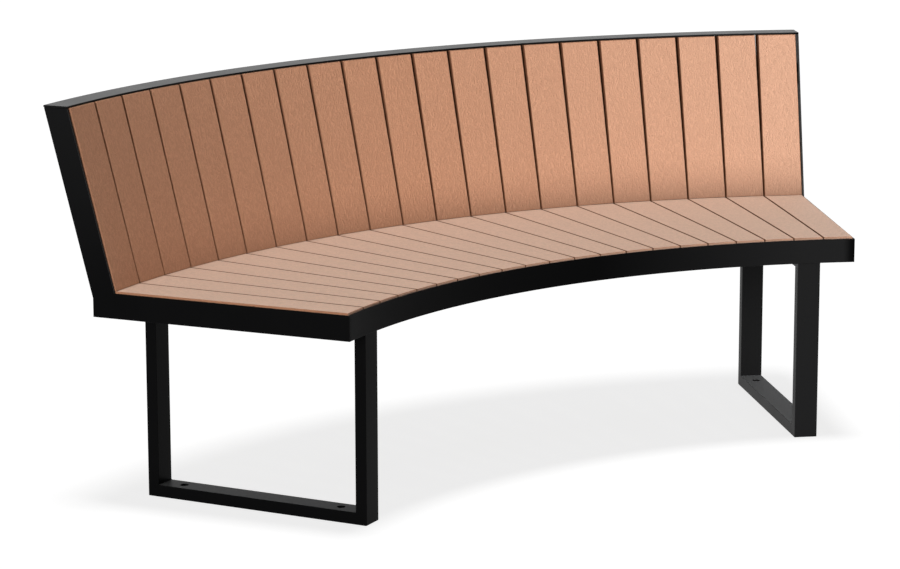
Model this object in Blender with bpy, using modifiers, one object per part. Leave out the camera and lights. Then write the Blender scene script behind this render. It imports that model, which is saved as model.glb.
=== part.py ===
"""Curved garden bench: one sixth of a ring, with a leaning slatted back.

Twenty-one tapered seat boards fan out between a rolled front fascia and the back. Twenty-one
straight back boards stand on their rear ends and lean outwards, so each pair of gaps lines up.
The steel frame is flat bar and plate: two L-shaped end plates on the ring's radial planes, three
notched L-shaped ribs between them, rolled rails under and behind the boards, and a rolled cap.
Two closed loops of rectangular tube stand on the ground and reach up behind the fascia.

Metres, +Z up. X runs along the bench, the sitter looks along -Y. The origin is at floor level
under the middle of the bench's box. The ring's centre lies in front of the bench, at RING_CENTRE.
OUTER_RADIUS is the rear edge of the cap, and the other radii follow from it.
"""
import math

import bmesh
import bpy
from mathutils import Matrix, Vector

# The ring
ARC = math.radians(60.0)
OUTER_RADIUS = 2.000
SEAT_DEPTH = 0.519
ARC_STEPS = 63

# Heights and the lean of the back
SEAT_HEIGHT = 0.4455
BACK_HEIGHT = 0.368
LEAN = math.radians(15.0)

# Clearances: a touching pair, and the open joint at a board's end
FIT = 0.0003
END_JOINT = 0.001

# Boards
BOARD_COUNT = 21
BOARD_THICKNESS = 0.032
BOARD_PROUD = 0.004
BOARD_ROUNDING = 0.002
SEAT_GAP = 0.0025
BACK_GAP = 0.0027

# Plates and flat bars of the frame
FRAME_DEPTH = 0.0515
PLATE = 0.004
HEEL_HEIGHT = 0.0384
RAIL_WIDTH = 0.050
SEAT_RAIL_THICKNESS = 0.010
BACK_RAIL_THICKNESS = 0.006
REAR_RAIL_REACH = 0.021
LOWER_BACK_RAIL = 0.085
UPPER_BACK_RAIL = 0.290
RIB_PLATE = 0.008
RIB_FLOOR = 0.002
RIB_SPREAD = math.radians(12.9)

# Leg frames
TUBE_WIDTH = 0.050
TUBE_DEPTH = 0.025
TUBE_ROUNDING = 0.0015
LEG_ANGLE = math.radians(25.9)
LEG_SPLAY = math.radians(1.0)
LEG_SETBACK = 0.0008
REAR_LEG_SETBACK = 0.0042
ANCHOR_HOLE = 0.016
ANCHOR_INSET = 0.0715
CUT_OVERRUN = 0.005

# Facets of small round and rounded edges, and the distance that welds two points
ROUNDING_SEGMENTS = 2
HOLE_SIDES = 24
SHARP_EDGE = math.radians(30.0)
QUARTER_TURN = math.radians(90.0)
WELD = 0.00001

# What follows from those sizes
TOP_HEIGHT = SEAT_HEIGHT + BACK_HEIGHT
FRAME_REAR = BOARD_PROUD + FRAME_DEPTH
JUNCTION_RADIUS = OUTER_RADIUS - BACK_HEIGHT * math.tan(LEAN) - FRAME_REAR / math.cos(LEAN)
FRONT_RADIUS = JUNCTION_RADIUS - SEAT_DEPTH
BOARD_UNDERSIDE = SEAT_HEIGHT - BOARD_THICKNESS
SEAT_RAIL_TOP = BOARD_UNDERSIDE - FIT
SEAT_RAIL_BOTTOM = SEAT_RAIL_TOP - SEAT_RAIL_THICKNESS
LEG_HEIGHT = SEAT_RAIL_BOTTOM - FIT
FRAME_TOP = SEAT_HEIGHT - BOARD_PROUD
FRAME_BOTTOM = FRAME_TOP - FRAME_DEPTH
HEEL_TOP = FRAME_BOTTOM + HEEL_HEIGHT
CAP_BOTTOM = TOP_HEIGHT - PLATE
FASCIA_BACK = FRONT_RADIUS + PLATE
LEG_FRONT = FASCIA_BACK + LEG_SETBACK
LEG_DEPTH = JUNCTION_RADIUS - REAR_LEG_SETBACK - LEG_FRONT
BOARD_PITCH = (ARC - 2.0 * (PLATE + FIT) / JUNCTION_RADIUS) / BOARD_COUNT
BACK_BOARD_WIDTH = 2.0 * JUNCTION_RADIUS * math.tan(0.5 * BOARD_PITCH) - BACK_GAP
RING_CENTRE = Vector((0.0, -0.5 * (OUTER_RADIUS + FRONT_RADIUS * math.cos(0.5 * ARC)), 0.0))

# Finishes
BOARD_COLOUR = (0.56, 0.37, 0.26, 1.0)
BOARD_ROUGHNESS = 0.65
STEEL_COLOUR = (0.012, 0.012, 0.013, 1.0)
STEEL_ROUGHNESS = 0.45


def clear_scene():
    for item in list(bpy.data.objects):
        bpy.data.objects.remove(item, do_unlink=True)


def new_collection(name):
    collection = bpy.data.collections.new(name)
    bpy.context.scene.collection.children.link(collection)
    return collection


def new_material(name, colour, roughness):
    material = bpy.data.materials.new(name)
    material.use_nodes = True
    shader = material.node_tree.nodes["Principled BSDF"]
    shader.inputs["Base Color"].default_value = colour
    shader.inputs["Roughness"].default_value = roughness
    shader.inputs["Metallic"].default_value = 0.0
    material.diffuse_color = colour
    return material


def board_material(name):
    """Brown board with a matt, close grain."""
    return new_material(name, BOARD_COLOUR, BOARD_ROUGHNESS)


def steel_material(name):
    """Steel under a black powder coat, which is a paint and not bare metal."""
    return new_material(name, STEEL_COLOUR, STEEL_ROUGHNESS)


def radial(angle):
    """Unit vector from the ring's centre; angles run from +Y towards +X."""
    return Vector((math.sin(angle), math.cos(angle), 0.0))


def tangent(angle):
    return Vector((math.cos(angle), -math.sin(angle), 0.0))


def end_angle(inner_radius):
    """Half the arc of a piece that stops a fit short of both end plates."""
    return 0.5 * ARC - math.asin((PLATE + FIT) / inner_radius)


def back_point(along, depth):
    """Radius and height of a point up the back's slope and behind the boards' faces."""
    radius = JUNCTION_RADIUS + along * math.sin(LEAN) + depth * math.cos(LEAN)
    height = SEAT_HEIGHT + along * math.cos(LEAN) - depth * math.sin(LEAN)
    return radius, height


def back_radius(height, depth):
    """Radius of the leaning plane at a depth behind the boards' faces, at one height."""
    return JUNCTION_RADIUS + (height - SEAT_HEIGHT) * math.tan(LEAN) + depth / math.cos(LEAN)


def corner_rise(radius, half_width):
    """How much farther from the ring's centre a flat board's corner lies than its middle."""
    return math.hypot(radius, half_width) - radius


def add_object(name, mesh, collection, material, parent):
    item = bpy.data.objects.new(name, mesh)
    collection.objects.link(item)
    item.parent = parent
    if material is not None:
        mesh.materials.append(material)
    return item


def finish_mesh(bm, name):
    bmesh.ops.recalc_face_normals(bm, faces=bm.faces)
    mesh = bpy.data.meshes.new(name)
    bm.to_mesh(mesh)
    bm.free()
    return mesh


def round_edges(item, width):
    bevel = item.modifiers.new("rounded_edges", "BEVEL")
    bevel.width = width
    bevel.segments = ROUNDING_SEGMENTS
    bevel.limit_method = "ANGLE"
    bevel.use_clamp_overlap = True


def curved_bar(name, section, half_angle, collection, parent):
    """A rolled bar: its section, given as radius and height, swept round the ring."""
    bm = bmesh.new()
    corners = [bm.verts.new(radial(half_angle) * radius + Vector((0.0, 0.0, height)))
               for radius, height in section]
    face = bm.faces.new(corners)
    bmesh.ops.spin(bm, geom=[face] + list(face.edges) + corners, cent=(0.0, 0.0, 0.0),
                   axis=(0.0, 0.0, 1.0), dvec=(0.0, 0.0, 0.0), angle=2.0 * half_angle,
                   steps=ARC_STEPS, use_merge=False, use_duplicate=False)
    item = add_object(name, finish_mesh(bm, name), collection, steel_material(name), parent)
    item.data.shade_smooth()
    item.data.set_sharp_from_angle(angle=SHARP_EDGE)
    return item


def flat_section(inner_radius, outer_radius, bottom, top):
    return [(inner_radius, bottom), (outer_radius, bottom), (outer_radius, top), (inner_radius, top)]


def plate_curve(name, outlines, thickness):
    """A flat plate cut to closed outlines of (radius, height) points; inner ones are holes."""
    curve = bpy.data.curves.new(name, "CURVE")
    curve.dimensions = "2D"
    curve.fill_mode = "BOTH"
    curve.extrude = 0.5 * thickness
    for points in outlines:
        spline = curve.splines.new("POLY")
        spline.points.add(len(points) - 1)
        for point, (radius, height) in zip(spline.points, points):
            point.co = (radius, height, 0.0, 1.0)
        spline.use_cyclic_u = True
    return curve


def stand_plate(item, angle, offset=0.0):
    """Stand a plate's outline up on the ring's radius at an angle, shifted along the tangent."""
    item.rotation_euler = (QUARTER_TURN, 0.0, QUARTER_TURN - angle)
    item.location = tangent(angle) * offset


def seat_board_mesh():
    """A board that widens with the ring: its sides keep half a gap to the radial joints."""
    front = FASCIA_BACK + END_JOINT
    rear = back_radius(BOARD_UNDERSIDE, BOARD_THICKNESS) - FIT
    half_pitch = 0.5 * BOARD_PITCH
    bm = bmesh.new()
    bmesh.ops.create_cube(bm, size=2.0)
    for corner in bm.verts:
        distance = front if corner.co.y < 0.0 else rear
        corner.co.x *= distance * math.tan(half_pitch) - 0.5 * SEAT_GAP / math.cos(half_pitch)
        corner.co.y = distance
        corner.co.z = SEAT_HEIGHT if corner.co.z > 0.0 else BOARD_UNDERSIDE
    return finish_mesh(bm, "seat_board")


def back_board_mesh():
    """A straight board that leans with the back; its ends are cut level."""
    foot = SEAT_HEIGHT + FIT
    head = CAP_BOTTOM - FIT
    bm = bmesh.new()
    bmesh.ops.create_cube(bm, size=2.0)
    for corner in bm.verts:
        height = head if corner.co.z > 0.0 else foot
        depth = BOARD_THICKNESS if corner.co.y > 0.0 else 0.0
        corner.co = (corner.co.x * 0.5 * BACK_BOARD_WIDTH, back_radius(height, depth), height)
    return finish_mesh(bm, "back_board")


def make_boards(collection, parent):
    """Both rows: a seat board and a back board on each radius, numbered from the left."""
    for row, mesh in (("seat_board", seat_board_mesh()), ("back_board", back_board_mesh())):
        for index in range(BOARD_COUNT):
            name = f"{row}_{index + 1:02d}"
            board = add_object(name, mesh.copy(), collection, board_material(name), parent)
            board.rotation_euler.z = -(index - 0.5 * (BOARD_COUNT - 1)) * BOARD_PITCH
            round_edges(board, BOARD_ROUNDING)
    bpy.data.meshes.remove(bpy.data.meshes["seat_board"])
    bpy.data.meshes.remove(bpy.data.meshes["back_board"])


def seat_rail_spans():
    """Inner and outer radius of the front, middle and rear rails under the seat boards."""
    front = FASCIA_BACK + FIT
    rear = JUNCTION_RADIUS + REAR_RAIL_REACH
    middle = 0.5 * (front + rear)
    return {
        "front_seat_rail": (front, front + RAIL_WIDTH),
        "middle_seat_rail": (middle - 0.5 * RAIL_WIDTH, middle + 0.5 * RAIL_WIDTH),
        "rear_seat_rail": (rear - RAIL_WIDTH, rear),
    }


def back_rail_depth():
    """Depth of the back rails' front behind the boards' faces: clear of the boards' corners."""
    return BOARD_THICKNESS + FIT + corner_rise(JUNCTION_RADIUS, 0.5 * BACK_BOARD_WIDTH)


def back_rail_section(along):
    near = back_rail_depth()
    far = near + BACK_RAIL_THICKNESS
    low = along - 0.5 * RAIL_WIDTH
    high = along + 0.5 * RAIL_WIDTH
    return [back_point(low, near), back_point(low, far), back_point(high, far), back_point(high, near)]


def make_curved_bars(collection, parent):
    curved_bar("front_fascia", flat_section(FRONT_RADIUS, FASCIA_BACK, FRAME_BOTTOM, FRAME_TOP),
               end_angle(FRONT_RADIUS), collection, parent)
    heel = back_radius(HEEL_TOP, FRAME_REAR)
    curved_bar("rear_band", flat_section(heel - PLATE, heel, FRAME_BOTTOM, HEEL_TOP),
               end_angle(heel - PLATE), collection, parent)
    cap_front = back_radius(CAP_BOTTOM, BOARD_PROUD)
    curved_bar("top_cap", flat_section(cap_front, OUTER_RADIUS, CAP_BOTTOM, TOP_HEIGHT),
               0.5 * ARC, collection, parent)
    for name, (inner, outer) in seat_rail_spans().items():
        curved_bar(name, flat_section(inner, outer, SEAT_RAIL_BOTTOM, SEAT_RAIL_TOP),
                   end_angle(inner), collection, parent)
    for name, along in (("lower_back_rail", LOWER_BACK_RAIL), ("upper_back_rail", UPPER_BACK_RAIL)):
        section = back_rail_section(along)
        curved_bar(name, section, end_angle(section[0][0]), collection, parent)


def end_plate_outline():
    """The L of an end plate: seat arm, upright heel and leaning post."""
    top = CAP_BOTTOM - FIT
    heel = back_radius(HEEL_TOP, FRAME_REAR)
    return [
        (FRONT_RADIUS, FRAME_BOTTOM),
        (heel, FRAME_BOTTOM),
        (heel, HEEL_TOP),
        (back_radius(top, FRAME_REAR), top),
        (back_radius(top, BOARD_PROUD), top),
        (back_radius(FRAME_TOP, BOARD_PROUD), FRAME_TOP),
        (FRONT_RADIUS, FRAME_TOP),
    ]


def make_end_plates(collection, parent):
    for name, side in (("left_end_plate", -1.0), ("right_end_plate", 1.0)):
        curve = plate_curve(name, [end_plate_outline()], PLATE)
        plate = add_object(name, curve, collection, steel_material(name), parent)
        stand_plate(plate, side * 0.5 * ARC, -side * 0.5 * PLATE)


def rib_outline():
    """A rib's L with open notches that the seat rails and back rails are let into."""
    floor = FRAME_BOTTOM + RIB_FLOOR
    notch_floor = SEAT_RAIL_BOTTOM - FIT
    heel = back_radius(HEEL_TOP, FRAME_REAR)
    band = heel - PLATE - FIT
    top = CAP_BOTTOM - FIT
    points = [(FASCIA_BACK + FIT, floor), (band, floor), (band, HEEL_TOP),
              (heel, HEEL_TOP), (back_radius(top, FRAME_REAR), top)]
    front = back_rail_depth()
    notch = front + BACK_RAIL_THICKNESS + FIT
    points.append((back_radius(top, front), top))
    for along in (UPPER_BACK_RAIL, LOWER_BACK_RAIL):
        high = along + 0.5 * RAIL_WIDTH + FIT
        low = along - 0.5 * RAIL_WIDTH - FIT
        points += [back_point(high, front), back_point(high, notch),
                   back_point(low, notch), back_point(low, front)]
    points.append((back_radius(SEAT_RAIL_TOP, front), SEAT_RAIL_TOP))
    for name in ("rear_seat_rail", "middle_seat_rail", "front_seat_rail"):
        inner, outer = seat_rail_spans()[name]
        points += [(outer + FIT, SEAT_RAIL_TOP), (outer + FIT, notch_floor)]
        if name != "front_seat_rail":
            points += [(inner - FIT, notch_floor), (inner - FIT, SEAT_RAIL_TOP)]
    points.append((FASCIA_BACK + FIT, notch_floor))
    return points


def make_ribs(collection, parent):
    for name, angle in (("left_rib", -RIB_SPREAD), ("centre_rib", 0.0), ("right_rib", RIB_SPREAD)):
        rib = add_object(name, plate_curve(name, [rib_outline()], RIB_PLATE), collection,
                         steel_material(name), parent)
        stand_plate(rib, angle)


def loop_outline(inset):
    half = 0.5 * LEG_DEPTH - inset
    return [(-half, inset), (half, inset), (half, LEG_HEIGHT - inset), (-half, LEG_HEIGHT - inset)]


def curve_to_mesh(item, collection):
    """Swap a curve object for a welded mesh object, so that it can be cut."""
    bpy.context.view_layer.update()
    graph = bpy.context.evaluated_depsgraph_get()
    mesh = bpy.data.meshes.new_from_object(item.evaluated_get(graph))
    bm = bmesh.new()
    bm.from_mesh(mesh)
    bmesh.ops.remove_doubles(bm, verts=bm.verts, dist=WELD)
    bmesh.ops.recalc_face_normals(bm, faces=bm.faces)
    bm.to_mesh(mesh)
    bm.free()
    name, parent, matrix = item.name, item.parent, item.matrix_world.copy()
    bpy.data.objects.remove(item, do_unlink=True)
    solid = bpy.data.objects.new(name, mesh)
    collection.objects.link(solid)
    solid.parent = parent
    solid.matrix_world = matrix
    return solid


def hole_cutter(name, along, leg, cutters):
    """An upright drill through the foot bar, at a distance along it from its middle."""
    bm = bmesh.new()
    bmesh.ops.create_cone(bm, cap_ends=True, segments=HOLE_SIDES, radius1=0.5 * ANCHOR_HOLE,
                          radius2=0.5 * ANCHOR_HOLE, depth=TUBE_DEPTH + 2.0 * CUT_OVERRUN,
                          matrix=Matrix.Rotation(QUARTER_TURN, 4, "X"))
    cutter = add_object(name, finish_mesh(bm, name), cutters, None, leg)
    cutter.location = (along, 0.5 * TUBE_DEPTH, 0.0)
    cutter.hide_render = True
    cutter.display_type = "WIRE"
    return cutter


def make_leg_frames(collection, cutters, parent):
    """Closed loops of rectangular tube, each with two anchor holes through its foot bar."""
    for name, side in (("left_leg_frame", -1.0), ("right_leg_frame", 1.0)):
        curve = plate_curve(name, [loop_outline(0.0), loop_outline(TUBE_DEPTH)], TUBE_WIDTH)
        leg = add_object(name, curve, collection, steel_material(name), parent)
        angle = side * LEG_ANGLE
        stand_plate(leg, angle + side * LEG_SPLAY)
        leg.location = radial(angle) * (LEG_FRONT + 0.5 * LEG_DEPTH)
        leg = curve_to_mesh(leg, collection)
        reach = 0.5 * LEG_DEPTH - ANCHOR_INSET
        for place, along in (("front", -reach), ("rear", reach)):
            drill = leg.modifiers.new(place + "_anchor_hole", "BOOLEAN")
            drill.operation = "DIFFERENCE"
            drill.object = hole_cutter(f"{name}_{place}_drill", along, leg, cutters)
        round_edges(leg, TUBE_ROUNDING)


def main():
    clear_scene()
    bench = new_collection("curved_garden_bench")
    cutters = new_collection("cutters")
    ring = bpy.data.objects.new("ring_centre", None)
    bench.objects.link(ring)
    ring.location = RING_CENTRE
    make_boards(bench, ring)
    make_curved_bars(bench, ring)
    make_end_plates(bench, ring)
    make_ribs(bench, ring)
    make_leg_frames(bench, cutters, ring)
    bpy.context.view_layer.update()


main()
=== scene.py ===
# %% [markdown]
# # A curved garden bench
#
# The bench is one sixth of a ring. Tapered boards fan out under the sitter, straight boards lean
# outwards behind, and a frame of flat bar, plate and rectangular tube holds both rows.
#
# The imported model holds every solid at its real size. This lesson dresses it: each solid gets a
# finer twin with eased edges, the small fasteners and welds are added, and every surface gets a
# finish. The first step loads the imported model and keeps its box, because nothing that follows may
# leave that box.

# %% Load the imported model
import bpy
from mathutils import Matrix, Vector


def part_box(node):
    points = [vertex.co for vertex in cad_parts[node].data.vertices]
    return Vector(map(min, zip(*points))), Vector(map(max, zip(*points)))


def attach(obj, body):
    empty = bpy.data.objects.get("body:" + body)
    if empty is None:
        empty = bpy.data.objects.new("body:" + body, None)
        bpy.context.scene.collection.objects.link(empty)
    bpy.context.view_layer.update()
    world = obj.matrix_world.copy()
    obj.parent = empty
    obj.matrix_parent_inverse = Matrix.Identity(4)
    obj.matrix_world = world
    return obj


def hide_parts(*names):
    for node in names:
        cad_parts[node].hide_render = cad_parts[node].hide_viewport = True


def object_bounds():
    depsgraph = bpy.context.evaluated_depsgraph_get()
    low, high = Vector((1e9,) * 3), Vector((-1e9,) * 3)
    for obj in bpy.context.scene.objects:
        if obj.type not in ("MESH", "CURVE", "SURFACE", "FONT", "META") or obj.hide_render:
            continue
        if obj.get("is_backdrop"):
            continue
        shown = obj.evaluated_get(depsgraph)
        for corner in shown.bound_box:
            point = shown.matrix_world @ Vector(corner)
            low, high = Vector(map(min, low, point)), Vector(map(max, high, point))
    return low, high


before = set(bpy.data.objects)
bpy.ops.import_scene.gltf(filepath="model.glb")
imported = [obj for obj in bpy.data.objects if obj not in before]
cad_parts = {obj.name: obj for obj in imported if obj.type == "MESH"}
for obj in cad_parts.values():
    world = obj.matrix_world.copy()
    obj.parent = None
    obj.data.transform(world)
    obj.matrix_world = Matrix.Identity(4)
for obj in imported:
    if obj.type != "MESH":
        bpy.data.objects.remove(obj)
cad_low, cad_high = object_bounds()
print("solids in the frame:", len(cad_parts))
print("their box, in metres:", [round(value, 4) for value in (cad_high - cad_low)])

# %% [markdown]
# ## The tools of the lesson
#
# Shapes come from bmesh, Blender's mesh editor for scripts. It works like the editor's own
# commands, so each piece below reads as a list of modelling steps. A mesh, a lens or a lamp only
# shows once an object carries it, and one helper does that for all of them.

# %% Tools
import math
import random

import bmesh
import bpy
from mathutils import Matrix, Vector


def add_object(name, data):
    """Put a mesh, a lens or a lamp into the scene."""
    thing = bpy.data.objects.new(name, data)
    bpy.context.scene.collection.objects.link(thing)
    return thing


print("Blender", bpy.app.version_string)

# %% [markdown]
# ## The camera
#
# The photograph was taken from the front left, a little above the seat, with a long lens. The
# place, the turns and the lens were worked out from the corners of the frame in the picture. The
# camera comes first, so that every later piece can be judged through it.

# %% Camera
CAMERA_PLACE = Vector((-4.0400, -5.4297, 1.7584))
CAMERA_HEADING = 0.62599
CAMERA_DIP = 0.20505
CAMERA_ROLL = -0.00218
LENS_MM = 127.79
SENSOR_MM = 36.0
LEVEL = math.radians(90.0)


def place_camera():
    """A camera that first looks along +Y, is tilted down and is then turned to its heading."""
    lens = bpy.data.cameras.new("camera")
    lens.lens = LENS_MM
    lens.sensor_width = SENSOR_MM
    camera = add_object("camera", lens)
    turns = (Matrix.Rotation(-CAMERA_HEADING, 4, "Z") @ Matrix.Rotation(LEVEL - CAMERA_DIP, 4, "X")
             @ Matrix.Rotation(CAMERA_ROLL, 4, "Z"))
    camera.matrix_world = Matrix.Translation(CAMERA_PLACE) @ turns
    bpy.context.scene.camera = camera


place_camera()
print("camera", round(CAMERA_PLACE.length, 2), "m from the middle of the bench")

# %% [markdown]
# ## The sizes that shape the ring
#
# Every curved piece turns about one upright axis in front of the bench. With the radius of the
# cap's rear edge, the height and the lean of the back, the other radii follow. The bench's own
# boxes give the outer radius and the seat's height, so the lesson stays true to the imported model.

# %% Sizes of the ring
ARC = math.radians(60.0)
LEAN = math.radians(15.0)
SEAT_DEPTH = 0.519
OUTER_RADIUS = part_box("top_cap")[1].x / math.sin(0.5 * ARC)
RING_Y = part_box("top_cap")[1].y - OUTER_RADIUS
SEAT_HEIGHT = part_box("seat_board_11")[1].z
TOP_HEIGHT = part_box("top_cap")[1].z
FIT = 0.0003
PLATE = 0.004
FRAME_DEPTH = 0.0515
BOARD_PROUD = 0.004
FRAME_REAR = BOARD_PROUD + FRAME_DEPTH
FRAME_TOP = SEAT_HEIGHT - BOARD_PROUD
FRAME_BOTTOM = FRAME_TOP - FRAME_DEPTH
CAP_BOTTOM = TOP_HEIGHT - PLATE
JUNCTION_RADIUS = (OUTER_RADIUS - (TOP_HEIGHT - SEAT_HEIGHT) * math.tan(LEAN)
                   - FRAME_REAR / math.cos(LEAN))
FRONT_RADIUS = JUNCTION_RADIUS - SEAT_DEPTH
FASCIA_BACK = FRONT_RADIUS + PLATE
print("outer radius", round(OUTER_RADIUS, 4), " seat and back meet at", round(JUNCTION_RADIUS, 4),
      " front radius", round(FRONT_RADIUS, 4))

# %% [markdown]
# ## Finding places on the ring
#
# Small helpers turn the ring's own measures into points: an angle and a radius, a height on the
# leaning back, and a distance up its slope. Angles run from the middle of the bench to the right.


# %% Places on the ring
def radial(angle):
    """Unit vector away from the ring's axis."""
    return Vector((math.sin(angle), math.cos(angle), 0.0))


def tangent(angle):
    """Unit vector along the ring, to the right."""
    return Vector((math.cos(angle), -math.sin(angle), 0.0))


def ring_place(angle, radius, height, aside=0.0):
    """A point from its angle, radius and height, or one that lies aside from that angle's plane."""
    return radial(angle) * radius + tangent(angle) * aside + Vector((0.0, 0.0, height))


def back_radius(height, depth):
    """Radius of the leaning plane at a depth behind the boards' faces."""
    return JUNCTION_RADIUS + (height - SEAT_HEIGHT) * math.tan(LEAN) + depth / math.cos(LEAN)


def back_point(along, depth):
    """Radius and height of a point up the back's slope and behind the boards' faces."""
    radius = JUNCTION_RADIUS + along * math.sin(LEAN) + depth * math.cos(LEAN)
    height = SEAT_HEIGHT + along * math.cos(LEAN) - depth * math.sin(LEAN)
    return radius, height


TO_RING = Matrix.Translation((0.0, RING_Y, 0.0))
print("ring's axis at y =", round(RING_Y, 4))

# %% [markdown]
# ## Eased edges
#
# Nothing on a real bench has a razor edge. A sanded board has a small round, and powder coat builds
# up to a thin round on steel. These rounds catch the light as fine bright lines. The bevel operator
# makes them on every edge that turns by more than a set angle. Weighted normals then keep the flat
# faces looking flat beside their rounded edges.

# %% Easing and finishing a piece
EASED_ANGLE = math.radians(40.0)


def round_edges(bm, edges, width, segments):
    """The bevel operator with a round profile."""
    bmesh.ops.bevel(bm, geom=edges, offset=width, offset_type="OFFSET", segments=segments,
                    profile=0.5, affect="EDGES", clamp_overlap=True, material=-1)


def ease(bm, width, segments, chosen=None):
    """Round every edge that turns by more than EASED_ANGLE, or only the chosen ones."""
    sharp = [edge for edge in bm.edges if edge.is_manifold and edge.calc_face_angle() > EASED_ANGLE]
    if chosen:
        sharp = [edge for edge in sharp if chosen(edge)]
    round_edges(bm, sharp, width, segments)


def make_mesh(bm, name):
    """Turn a bmesh into a mesh, and let go of the bmesh."""
    mesh = bpy.data.meshes.new(name)
    bm.to_mesh(mesh)
    bm.free()
    return mesh


def finish_piece(bm, name, slot, material, *nodes):
    """Turn a bmesh into a piece that rides on the bench and stands for its solids."""
    bmesh.ops.recalc_face_normals(bm, faces=bm.faces)
    mesh = make_mesh(bm, name)
    mesh.shade_smooth()
    mesh.materials.append(material)
    piece = add_object(name, mesh)
    piece.modifiers.new("even_shading", "WEIGHTED_NORMAL")
    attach(piece, "root")
    if nodes:
        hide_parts(*nodes)
    return piece


print("edges sharper than", round(math.degrees(EASED_ANGLE)), "degrees are eased")

# %% [markdown]
# ## Node helpers
#
# A material is a small graph of nodes. The first two helpers add a node, set its options and fill
# its sockets, either with a constant or with the output of another node. The others stand for the
# kinds of node that come back most often, so each finish below reads as a recipe.


# %% Node helpers
def fill_sockets(tree, node, values):
    """Give sockets, by name or number, a constant or a link to another node's output."""
    for name, value in values.items():
        if isinstance(value, bpy.types.NodeSocket):
            tree.links.new(value, node.inputs[name])
        else:
            node.inputs[name].default_value = value


def add_node(tree, kind, values=None, **options):
    """Add a node, set its options, and fill its sockets."""
    node = tree.nodes.new(kind)
    for name, value in options.items():
        setattr(node, name, value)
    fill_sockets(tree, node, values or {})
    return node


def calculate(tree, operation, *inputs):
    """One operation on numbers, such as a product or a power."""
    return add_node(tree, "ShaderNodeMath", dict(enumerate(inputs)), operation=operation).outputs[0]


def map_range(tree, value, start, end, low=0.0, high=1.0, curve="LINEAR"):
    """Turn what runs from start to end into what runs from low to high."""
    values = {"Value": value, "From Min": start, "From Max": end, "To Min": low, "To Max": high}
    return add_node(tree, "ShaderNodeMapRange", values, interpolation_type=curve).outputs["Result"]


def mix(tree, share, first, second):
    """Two numbers, mixed by the share of the second. Sockets 2 and 3 of this node take numbers."""
    return add_node(tree, "ShaderNodeMix", {0: share, 2: first, 3: second}).outputs[0]


def blend(tree, share, first, second):
    """Two colours, mixed by the share of the second. Sockets 6 and 7 of this node take colours."""
    values = {0: share, 6: first, 7: second}
    return add_node(tree, "ShaderNodeMix", values, data_type="RGBA").outputs[2]


def split(tree, vector):
    """The three numbers of a vector."""
    return add_node(tree, "ShaderNodeSeparateXYZ", {"Vector": vector}).outputs


def relief(tree, height, strength, depth):
    """Normals that follow a height."""
    values = {"Height": height, "Strength": strength, "Distance": depth}
    return add_node(tree, "ShaderNodeBump", values).outputs["Normal"]


def new_material(name):
    """An empty recipe: its node tree and its Principled shader."""
    material = bpy.data.materials.new(name)
    material.use_nodes = True
    return material, material.node_tree, material.node_tree.nodes["Principled BSDF"]


print("node helpers ready")

# %% [markdown]
# ## The grain of the boards
#
# The boards are a warm pinkish brown composite, pressed with a shallow grain. Close up it shows
# thin wavy lines, nested ovals like knots, short fine flecks, and the faint arches that a slice
# through a log has. The pattern has to follow each board as it was sawn, so it starts from two
# places that are stored on the boards later on: grain is where a point lies across, along and into
# the board, and log is the same place seen from the middle of the log.
#
# A drawn texture would have to be painted for every board. Noise needs no painting: the thin lines
# are the level lines of a slow noise, as on a map, and the ovals are level lines of the distance to
# scattered points. Both come from one helper, which makes the field rise and fall between 0 and 1
# and keeps the crests. Each noise below is given by its scales across, along and into the board,
# then by its detail and its distortion.

# %% Grain
PATCH_NOISE = ((26.0, 15.0, 26.0), 3.0, 0.0)
FLECK_NOISE = ((400.0, 150.0, 400.0), 3.0, 0.8)
PORE_NOISE = ((800.0, 700.0, 800.0), 2.0, 1.0)
SWIRL_NOISE = ((165.0, 85.0, 165.0), 2.0, 0.5)
NOISE_ROUGHNESS = 0.6
LINES_PER_SWIRL = 7.0
LINE_FOOT = 0.45
LINE_BASE = 0.34
ARCH_TILT = math.radians(9.0)
ARCH_WAVE = {"Scale": 60.0, "Distortion": 4.0, "Detail": 2.0, "Detail Scale": 2.5}
KNOT_SCALES = (15.0, 11.0, 15.0)
RINGS_PER_KNOT = 16.0
KNOT_REACH = 0.45
BETWEEN_KNOTS = 0.5


def stretched(tree, place, scales):
    """A place on the board, with each direction scaled by its own number."""
    return add_node(tree, "ShaderNodeMapping", {"Vector": place, "Scale": scales}).outputs["Vector"]


def board_noise(tree, place, scales, detail, distortion):
    """Noise that is stretched along the board."""
    return add_node(tree, "ShaderNodeTexNoise", {
        "Vector": stretched(tree, place, scales), "Scale": 1.0, "Detail": detail,
        "Roughness": NOISE_ROUGHNESS, "Distortion": distortion}).outputs["Fac"]


def thin_lines(tree, field, count):
    """Thin raised lines wherever a field times count is an odd number."""
    wave = calculate(tree, "PINGPONG", calculate(tree, "MULTIPLY", field, count), 1.0)
    return map_range(tree, wave, LINE_FOOT, 1.0, LINE_BASE, 1.0, "SMOOTHSTEP")


def growth_arches(tree, place):
    """Rings round the log's middle, which is tilted, so that the face cuts them as arches."""
    tilted = add_node(tree, "ShaderNodeMapping",
                      {"Vector": place, "Rotation": (ARCH_TILT, 0.0, 0.0)})
    rings = add_node(tree, "ShaderNodeTexWave", {"Vector": tilted.outputs["Vector"], **ARCH_WAVE},
                     wave_type="RINGS", rings_direction="Y")
    return rings.outputs["Fac"]


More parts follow.
